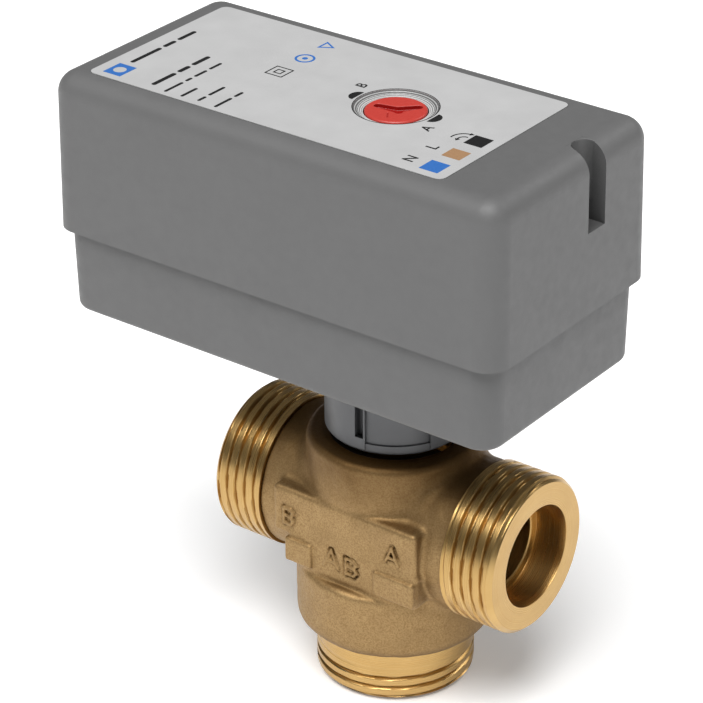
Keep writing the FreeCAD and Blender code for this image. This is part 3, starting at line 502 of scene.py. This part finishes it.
def casting():
    """Body of the valve with the same pad, bosses and unevenness on both sides, lettered on the front."""
    block = Block((-TUBE_END - 1.5, -22, COLLAR - 1.5), (TUBE_END + 1.5, 22, NECK_TOP + 1.5), 0.25)
    block.add(upright_rod(block, 20.65, COLLAR, 37.4, 3.2))
    block.add(upright_rod(block, 18.3, 30, NECK_TOP, 1.6), 4.0)
    block.add(level_rod(block, 16.0, -TUBE_END, TUBE_END, 0.3), 2.4)
    for side in (-1, 1):
        low_y, high_y = sorted((side * PAD, side * 24))
        block.cut(slab(block, (-PAD_HALF, low_y, 27.0), (PAD_HALF, high_y, 45.0), 0.6), 1.8)
        low_y, high_y = sorted((side * PAD, side * 4.0))
        block.add(slab(block, (-PAD_HALF, low_y, 34.0), (PAD_HALF, high_y, 45.0), 1.1), 1.2)
        block.add(slab(block, (-14.0, low_y, 27.4), (PAD_HALF, high_y, 35.5), 1.1), 1.0)
        low_y, high_y = sorted((side * (PAD + BOSS_PROUD), side * 6.0))
        block.add(slab(block, (8.0, low_y, BOSS_LOW), (PAD_HALF, high_y, BOSS_HIGH), 0.6), 0.3)
        block.add(slab(block, (-14.4, low_y, BOSS_LOW), (-7.6, high_y, BOSS_HIGH), 0.6), 0.3)
    words = [("B", -15.0, 36.9, 2.5, 3.5), ("A", 10.8, 37.0, 3.2, 3.6),
             ("A", -4.6, 30.6, 3.6, 4.0), ("B", 0.9, 30.4, 2.7, 3.6)]
    proud, sunk = PAD + 0.05, PAD + 0.2
    for kind, left, low, width, height in words:
        bars = letter_bars(kind, left, low, width, height)
        for start, end in bars:
            groove = stroke(block, (start[0], -sunk, start[1]), (end[0], -sunk, end[1]), LETTER_CUT)
            block.cut(groove, 0.5)
        for start, end in bars:
            ridge = stroke(block, (start[0], -proud, start[1]), (end[0], -proud, end[1]), LETTER_STROKE)
            block.add(ridge, 0.3)
    block.field += ripple(block.field.shape, 14, 0.04, 3) + ripple(block.field.shape, 5, 0.018, 4)
    trim = np.maximum(np.abs(block.x) - TUBE_END, np.maximum(COLLAR - block.z, block.z - NECK_TOP))
    block.field = np.maximum(block.field, trim)
    block.cut(upright_rod(block, CHAMBER, 23.0, NECK_TOP + 5))
    block.cut(upright_rod(block, RING_GROOVE, 55.0, 56.1))
    block.cut(upright_rod(block, PASSAGE, 0, 30))
    block.cut(level_rod(block, PASSAGE, -30, 30))
    block.cut(level_rod(block, SEAT_BORE, -16.5, 16.5))
    return block.mesh("valve_casting")


add_piece("valve_casting", "valve", casting(), PAINTS["brass_cast"], ["valve_body"])

# ---- threaded ends -------------------------------------------------------------------------

CREST = 16.6245
PITCH = 2.309
THREAD_DEPTH = 0.7
CHAMFER = 0.96
LIP = 0.35
SLEEVE_BACK = CREST - 1.2
# Distances from the end face: hidden end of the sleeve, end of the full thread, end of its run-out, and
# the last distance seen outside the casting.
SIDE_END = (12.6, 10.6, 12.1, 12.0)
FOOT_END = (13.0, 5.2, 8.0, 12.4)


def thread_radius(full, fade):
    """Radius of a right-hand thread over distance from the end face and angle, with its run-out."""
    def radius(distance, angles):
        turn = (distance + PITCH * angles / (2 * math.pi)) / PITCH
        rise = 1 - np.abs(2 * (turn - np.floor(turn)) - 1)
        groove = 0.5 - 0.5 * np.cos(math.pi * np.clip((rise - 0.5) / 0.44, 0, 1))
        ease = np.clip((fade - distance) / (fade - full), 0, 1)
        cut = CREST - THREAD_DEPTH * groove * ease * ease * (3 - 2 * ease)
        return np.minimum(cut, CREST - CHAMFER + distance)
    return radius


def threaded_end(name, hidden, full, fade, seen, frame_of):
    """Machined end: thread, chamfer, end face, counterbore and passage as one closed ring."""
    outside = thread_radius(full, fade)
    shoulder = (BORE + PASSAGE) / 2
    loop = [(hidden, SLEEVE_BACK), (seen + 0.05, SLEEVE_BACK), (seen + 0.02, CREST - 0.2)]
    loop += [(distance, outside) for distance in np.arange(seen, 0.05, -0.14)]
    loop += [(0.0, outside), (0.0, CREST - CHAMFER - 0.5), (0.0, (CREST + BORE) / 2), (0.0, BORE + LIP),
             (0.03, BORE + 0.1), (LIP, BORE), (2.0, BORE), (BORE_DEPTH - 0.3, BORE),
             (BORE_DEPTH - 0.08, BORE - 0.08), (BORE_DEPTH, BORE - 0.3), (BORE_DEPTH, shoulder),
             (BORE_DEPTH, PASSAGE + 0.25), (BORE_DEPTH + 0.2, PASSAGE), (BORE_DEPTH + 1.5, PASSAGE),
             (hidden, PASSAGE)]
    return sharpen(turned(name, loop, frame_of, 216), 40)


def port_frame(side):
    """Maps distance, radius and angle to points at the end of a side port."""
    def points(distance, radius, angles):
        return np.stack([np.full_like(radius, side * (REACH - distance)), side * radius * np.cos(angles),
                         PORT_AXIS + radius * np.sin(angles)], axis=1)
    return points


def foot_frame(distance, radius, angles):
    """Maps height, radius and angle to points round the stem axis."""
    height = np.full_like(radius, distance)
    return np.stack([radius * np.cos(angles), -radius * np.sin(angles), height], axis=1)


for port, side in (("a", 1), ("b", -1)):
    mesh = threaded_end(f"port_{port}_thread", *SIDE_END, port_frame(side))
    add_piece(f"port_{port}_thread", "valve", mesh,
              turned_brass(f"turned_brass_{port}", (1, 0, 0), (0, 0, PORT_AXIS)))
mesh = threaded_end("port_ab_thread", *FOOT_END, foot_frame)
add_piece("port_ab_thread", "valve", mesh,
          turned_brass("turned_brass_ab", (0, 0, 1), (0, 0, 0)))

# ---- adapter skirt -------------------------------------------------------------------------

SKIRT_INNER, SKIRT_WALL, SKIRT_OUTER = 12.15, 12.75, 14.3
SKIRT_ROUND = 0.55


def skirt():
    """Sleeve inside the adapter: backs its slots and closes it towards the neck."""
    low, high = NECK_TOP + 1.2, NECK_TOP + 15.5
    loop = [(high, SKIRT_INNER), (high, SKIRT_WALL), (low + 4.0, SKIRT_WALL), (low + 2.2, 13.4),
            (low + 2.0, SKIRT_OUTER), (low + 0.9, SKIRT_OUTER)]
    for angle in range(0, 91, 15):
        turn = math.radians(angle)
        loop.append((low + SKIRT_ROUND - SKIRT_ROUND * math.sin(turn), 13.75 + SKIRT_ROUND * math.cos(turn)))
    loop += [(low, 12.9), (low, SKIRT_INNER)]
    return sharpen(turned("adapter_skirt", loop, foot_frame, 144), 40)


add_piece("adapter_skirt", "valve", skirt(), PAINTS["adapter_grey"])

# ---- position knob -------------------------------------------------------------------------

KNOB_RECESS = 0.9


def knob():
    """Round knob with a three-armed pointer recess and a small tick."""
    radius = float(KNOB_HIGH[0])
    low, top = float(KNOB_LOW[2]), float(KNOB_HIGH[2])
    block = Block((-radius - 0.6, -radius - 0.6, low - 0.6), (radius + 0.6, radius + 0.6, top + 0.6), 0.13)
    block.add(upright_rod(block, radius, low, top, 0.45))
    floor = top - KNOB_RECESS
    block.cut(np.maximum(arms_flat(block), floor - block.z), 0.2)
    block.cut(stroke(block, (-0.4, -2.1, top), (0.8, -3.9, top), 0.2), 0.1)
    return block.mesh("position_knob_red")


def arms_flat(block):
    """Three-armed pointer recess seen from above, as a distance in plan."""
    arms = None
    rows = (((0.2, 0.0), (-3.9, -0.5), 1.3, 0.85), ((0.2, 0.0), (2.9, 3.4), 1.3, 0.85),
            ((0.2, 0.0), (1.1, -0.7), 1.2, 0.8))
    for start, end, wide, narrow in rows:
        start = np.array(start)
        span = np.array(end) - start
        across_x, across_y = block.x - start[0], block.y - start[1]
        share = np.clip((across_x * span[0] + across_y * span[1]) / float(span @ span), 0, 1)
        arm = np.sqrt((across_x - share * span[0]) ** 2 + (across_y - share * span[1]) ** 2)
        arm = arm - (wide + (narrow - wide) * share)
        arms = arm if arms is None else np.minimum(arms, arm)
    return arms + 0 * block.z


add_piece("position_knob_red", "output", knob(), PAINTS["knob_red"], ["position_knob"])

# ---- dial bezel ----------------------------------------------------------------------------

# Radius and depth below the top of the cover, from the outside in.
BEZEL_STEPS = ((8.0, 0.1), (7.75, 0.3), (7.5, 0.32), (7.42, 0.42), (7.15, 0.45), (7.05, 0.58), (6.75, 0.62),
               (6.65, 0.74), (6.42, 0.78), (6.38, 0.86))


def bezel():
    """Shallow stepped ring round the knob, in the recess of the cover."""
    top = float(LABEL_LOW[2])
    loop = [(top - 1.5, 6.5), (top - 1.5, 6.62), (top - 0.15, 8.2), (top - 0.1, 8.2)]
    for radius, depth in BEZEL_STEPS:
        loop.append((top - depth, radius))
    loop.append((top - 1.3, 6.38))
    return sharpen(turned("dial_bezel", loop, foot_frame, 144), 30)


add_piece("dial_bezel", "valve", bezel(), PAINTS["bezel"])

# ---- cable slot ----------------------------------------------------------------------------

SLOT_BACK, SLOT_FRONT, SLOT_FLOOR, SLOT_WIDTH = 36.3, 3.95, 110.3, 5.8
SLOT_HOLE = 4.2
TOP_ROUND = 4.7
SET_BACK = 0.015


def slot_end():
    """Fills the inner corners of the cable slot to a half round, above the cable hole at its foot."""
    top = float(LABEL_LOW[2])
    edge_start = float(corners("cover_housing")[1][0]) - TOP_ROUND
    half = SLOT_WIDTH / 2
    middle = SLOT_FRONT + half
    block = Block((SLOT_BACK - 0.6, SLOT_FRONT - 0.6, SLOT_FLOOR + 3.6),
                  (SLOT_BACK + half + 0.4, SLOT_FRONT + SLOT_WIDTH + 0.6, top + 0.4), 0.12)
    block.add(slab(block, (SLOT_BACK - 0.2, SLOT_FRONT - 0.2, SLOT_FLOOR + SLOT_HOLE),
                   (SLOT_BACK + half, SLOT_FRONT + SLOT_WIDTH + 0.2, top - SET_BACK)))
    hollow = np.sqrt((block.x - SLOT_BACK - half) ** 2 + (block.y - middle) ** 2) - (half + 0.02)
    block.cut(hollow + 0 * block.z)
    past_edge = np.maximum(block.x - edge_start, 0)
    above_edge = np.maximum(block.z - top + TOP_ROUND, 0)
    drop = np.sqrt(past_edge ** 2 + above_edge ** 2)
    block.field = np.maximum(block.field, drop - (TOP_ROUND - SET_BACK) + 0 * block.y)
    return block.mesh("slot_end")


add_piece("slot_end", "valve", slot_end(), PAINTS["housing_grey"])

# ---- label ---------------------------------------------------------------------------------

FILM_TOP = float(LABEL_HIGH[2]) - 0.07
INK_TOP = float(LABEL_HIGH[2]) - 0.04
HOLE = 8.4


def flat_mesh(name, outlines, low, high, bevel=0.0):
    """Thin plate from closed outlines, holes included, in millimetres."""
    curve = bpy.data.curves.new(name, "CURVE")
    curve.dimensions = "2D"
    curve.fill_mode = "BOTH"
    curve.extrude = (high - low) / 2 - bevel
    curve.bevel_depth = bevel
    curve.offset = -bevel
    for outline in outlines:
        spline = curve.splines.new("POLY")
        spline.points.add(len(outline) - 1)
        for point, (x, y) in zip(spline.points, outline):
            point.co = (x, y, 0, 1)
        spline.use_cyclic_u = True
    return solid_from(name, curve, Vector((0, 0, (low + high) / 2)))


def solid_from(name, curve, shift, rotation=0.0):
    """Converts a filled curve or letter to a closed mesh in metres."""
    holder = bpy.data.objects.new(name + "_source", curve)
    bpy.context.scene.collection.objects.link(holder)
    bpy.context.view_layer.update()
    mesh = bpy.data.meshes.new_from_object(holder)
    bpy.data.objects.remove(holder)
    bpy.data.curves.remove(curve)
    mesh.transform(Matrix.Translation(shift) @ Matrix.Rotation(rotation, 4, "Z"))
    work = bmesh.new()
    work.from_mesh(mesh)
    bmesh.ops.remove_doubles(work, verts=work.verts, dist=0.0005)
    bmesh.ops.recalc_face_normals(work, faces=work.faces)
    for vertex in work.verts:
        vertex.co *= MM
    work.to_mesh(mesh)
    work.free()
    mesh.name = name
    return mesh


def rectangle(left, front, right, back, corner=0.0, steps=6):
    if corner <= 0:
        return [(left, front), (right, front), (right, back), (left, back)]
    points = []
    for x, y, start in ((right - corner, back - corner, 0), (left + corner, back - corner, 90),
                        (left + corner, front + corner, 180), (right - corner, front + corner, 270)):
        for step in range(steps + 1):
            angle = math.radians(start + 90 * step / steps)
            points.append((x + corner * math.cos(angle), y + corner * math.sin(angle)))
    return points


def arc(x, y, radius, start=0, end=360, steps=96, squash=1.0):
    closed = end - start == 360
    count = steps if closed else steps + 1
    turns = [math.radians(start + (end - start) * step / steps) for step in range(count)]
    return [(x + radius * math.cos(turn) * squash, y + radius * math.sin(turn)) for turn in turns]


def letter(text, x, y, size):
    """Letter centred at a point, its top pointing to -X."""
    curve = bpy.data.curves.new("letter_" + text, "FONT")
    curve.body = text
    curve.size = size
    curve.align_x = "CENTER"
    curve.align_y = "CENTER"
    curve.extrude = (INK_TOP - FILM_TOP) / 2 + 0.01
    curve.offset = 0.045
    return solid_from("letter_" + text, curve, Vector((x, y, (INK_TOP + FILM_TOP) / 2 - 0.01)), math.pi / 2)


def printed(name, outlines):
    return flat_mesh(name, outlines, FILM_TOP - 0.02, INK_TOP)


def ribbon(points, width):
    """Outline of a line of a given width."""
    line = np.array(points, float)
    along = np.gradient(line, axis=0)
    along /= np.linalg.norm(along, axis=1, keepdims=True)
    side = np.stack([-along[:, 1], along[:, 0]], axis=1) * width / 2
    return [tuple(point) for point in np.concatenate([line + side, (line - side)[::-1]])]


film_mesh = flat_mesh("label_sheet", [
    rectangle(float(LABEL_LOW[0]), float(LABEL_LOW[1]), float(LABEL_HIGH[0]), float(LABEL_HIGH[1]), 1.6),
    arc(0, 0, HOLE)], float(LABEL_LOW[2]) + 0.005, FILM_TOP, 0.03)
add_piece("label_sheet", "valve", film_mesh, PAINTS["label_print"], ["label"])

# Thin black ring round the edge of the hole in the label.
black = [printed("hole_edge_line", [arc(0, 0, HOLE + 0.2), arc(0, 0, HOLE + 0.02)])]
for x, start in ((-8.95, 90), (8.95, -90)):
    black.append(printed("mark_half", [arc(x, -0.3, 2.0, start, start + 180, 24, 0.9)]))
black += [letter("B", -11.3, 4.2, 3.2), letter("A", 11.0, -4.9, 3.2), letter("N", 16.5, -17.8, 3.4),
          letter("L", 16.8, -11.2, 3.4)]
black.append(printed("mark_black", [rectangle(20.2, -6.2, 24.3, -2.0)]))


def dashes(x, y, end, thick, lengths):
    """A row of plain round-ended dashes in place of a line of print."""
    gap = 0.9
    scale = (end - y - gap * (len(lengths) - 1)) / sum(lengths)
    for length in lengths:
        yield [rectangle(x - thick / 2, y, x + thick / 2, y + length * scale, thick * 0.45)]
        y += length * scale + gap


# Each row of dashes: its x, its start and end in y, its thickness, and the lengths in proportion.
DASH_ROWS = ((-55.4, -13.6, 6.4, 1.0, (5, 2, 3)), (-44.7, -19.7, -2.2, 1.05, (4, 2, 3)),
             (-40.6, -20.9, -3.4, 0.7, (3, 1, 2, 2)), (-36.5, -20.8, -15.9, 0.7, (1,)),
             (-32.5, -20.5, -12.3, 0.7, (1, 2)), (-28.0, -20.9, -12.2, 0.7, (2, 1)))
SQUARE_X, SQUARE_Y = -28.7, 0.1

for row in DASH_ROWS:
    for outline in dashes(*row):
        black.append(printed("mark_dash", outline))
for half, width in ((2.15, 0.3), (0.95, 0.3)):
    outlines = []
    for reach in (half, half - width):
        outlines.append([(SQUARE_X + reach * dx, SQUARE_Y + reach * dy)
                         for dx, dy in ((1, 1), (-1, 1), (-1, -1), (1, -1))])
    black.append(printed("mark_square", outlines))
for radius, start, end in ((2.7, 190, 98), (1.25, 88, 196)):
    line = arc(19.5, -5.0, radius, start, end, 16)
    black.append(printed("mark_curve", [ribbon(line, 0.34)]))
    tip, before = np.array(line[-1]), np.array(line[-3])
    ahead = (tip - before) / np.linalg.norm(tip - before)
    aside = np.array([-ahead[1], ahead[0]])
    black.append(printed("mark_arrow", [[tuple(tip + ahead * 0.9), tuple(tip + aside * 0.55),
                                         tuple(tip - aside * 0.55)]]))
add_piece("label_print_black", "valve", merged("label_print_black", black),
          ink("ink_black", colour(17, 17, 18)))

blue = [printed("mark_blue", [rectangle(20.0, -20.2, 24.2, -15.9)]),
        printed("mark_badge", [rectangle(-57.0, -20.4, -52.6, -15.2), arc(-54.8, -17.8, 1.35)]),
        printed("mark_hoop", [arc(-28.7, 8.4, 2.1), arc(-28.7, 8.4, 1.6)]),
        printed("mark_dot", [arc(-28.7, 8.4, 0.6)]),
        printed("mark_hoop_2", [arc(-29.2, 16.1, 2.1, steps=3), arc(-29.2, 16.1, 1.3, steps=3)])]
add_piece("label_print_blue", "valve", merged("label_print_blue", blue),
          ink("ink_blue", colour(44, 98, 168)))
brown = printed("label_print_brown", [rectangle(20.1, -13.2, 24.2, -9.3)])
add_piece("label_print_brown", "valve", brown, ink("ink_brown", colour(150, 116, 84)))

# ---- stage ---------------------------------------------------------------------------------


def stage():
    """Plain pale floor just under the object."""
    size = 6.0
    level = -0.0004
    floor_mesh = bpy.data.meshes.new("floor")
    points = [(-size, -size, level), (size, -size, level), (size, size, level), (-size, size, level)]
    floor_mesh.from_pydata(points, [], [(0, 1, 2, 3)])
    floor = bpy.data.objects.new("floor", floor_mesh)
    bpy.context.scene.collection.objects.link(floor)
    paint = Paint("floor_paper", Emission_Color=(1, 1, 1, 1), Emission_Strength=0.16)
    base = paint.blend(paint.remap(paint.noise(120, 3), 0, 1), (0.95, 0.95, 0.95, 1), (0.97, 0.97, 0.97, 1))
    floor_mesh.materials.append(paint.done(base, paint.remap(paint.noise(3, 2), 0.7, 0.8)))


def soft_light(name, place, target, size, power):
    light = bpy.data.lights.new(name, "AREA")
    light.shape = "RECTANGLE"
    light.size, light.size_y = size
    light.energy = power
    lamp = bpy.data.objects.new(name, light)
    lamp.location = place
    lamp.rotation_euler = (Vector(target) - Vector(place)).to_track_quat("-Z", "Y").to_euler()
    bpy.context.scene.collection.objects.link(lamp)


def studio():
    world = bpy.data.worlds.new("studio")
    bpy.context.scene.world = world
    world.use_nodes = True
    background = world.node_tree.nodes["Background"]
    background.inputs["Color"].default_value = (1, 1, 1, 1)
    background.inputs["Strength"].default_value = 0.1
    sun = bpy.data.lights.new("overhead_light", "SUN")
    sun.energy = 3.7
    sun.angle = math.radians(42)
    lamp = bpy.data.objects.new("overhead_light", sun)
    lamp.rotation_euler = (math.radians(19), math.radians(8), 0)
    bpy.context.scene.collection.objects.link(lamp)
    soft_light("key_light", (-0.35, -0.6, 0.9), (0, 0, 0.06), (0.3, 0.3), 1.6)
    soft_light("side_light", (1.0, 0.05, 0.5), (0, 0, 0.06), (0.3, 0.4), 0.3)
    soft_light("back_light", (0.45, 1.0, 0.95), (0, 0, 0.1), (0.6, 0.4), 3.0)


def camera():
    """Camera at the viewing angle of the photograph, placed by a camera fit."""
    made = bpy.data.cameras.new("camera")
    made.lens = 152.81
    made.sensor_width = 36.0
    made.clip_end = 50
    right = Vector((0.79807, 0.60253, -0.00645))
    up = Vector((-0.28161, 0.38243, 0.88003))
    back = right.cross(up).normalized()
    holder = bpy.data.objects.new("camera", made)
    turn = Matrix((right, back.cross(right), back)).transposed().to_4x4()
    place = Vector((312.517, -425.679, 358.428))
    holder.matrix_world = Matrix.Translation(place * MM) @ turn
    bpy.context.scene.collection.objects.link(holder)
    bpy.context.scene.camera = holder


stage()
studio()
camera()
bpy.context.scene.view_settings.view_transform = "Standard"

bpy.context.view_layer.update()
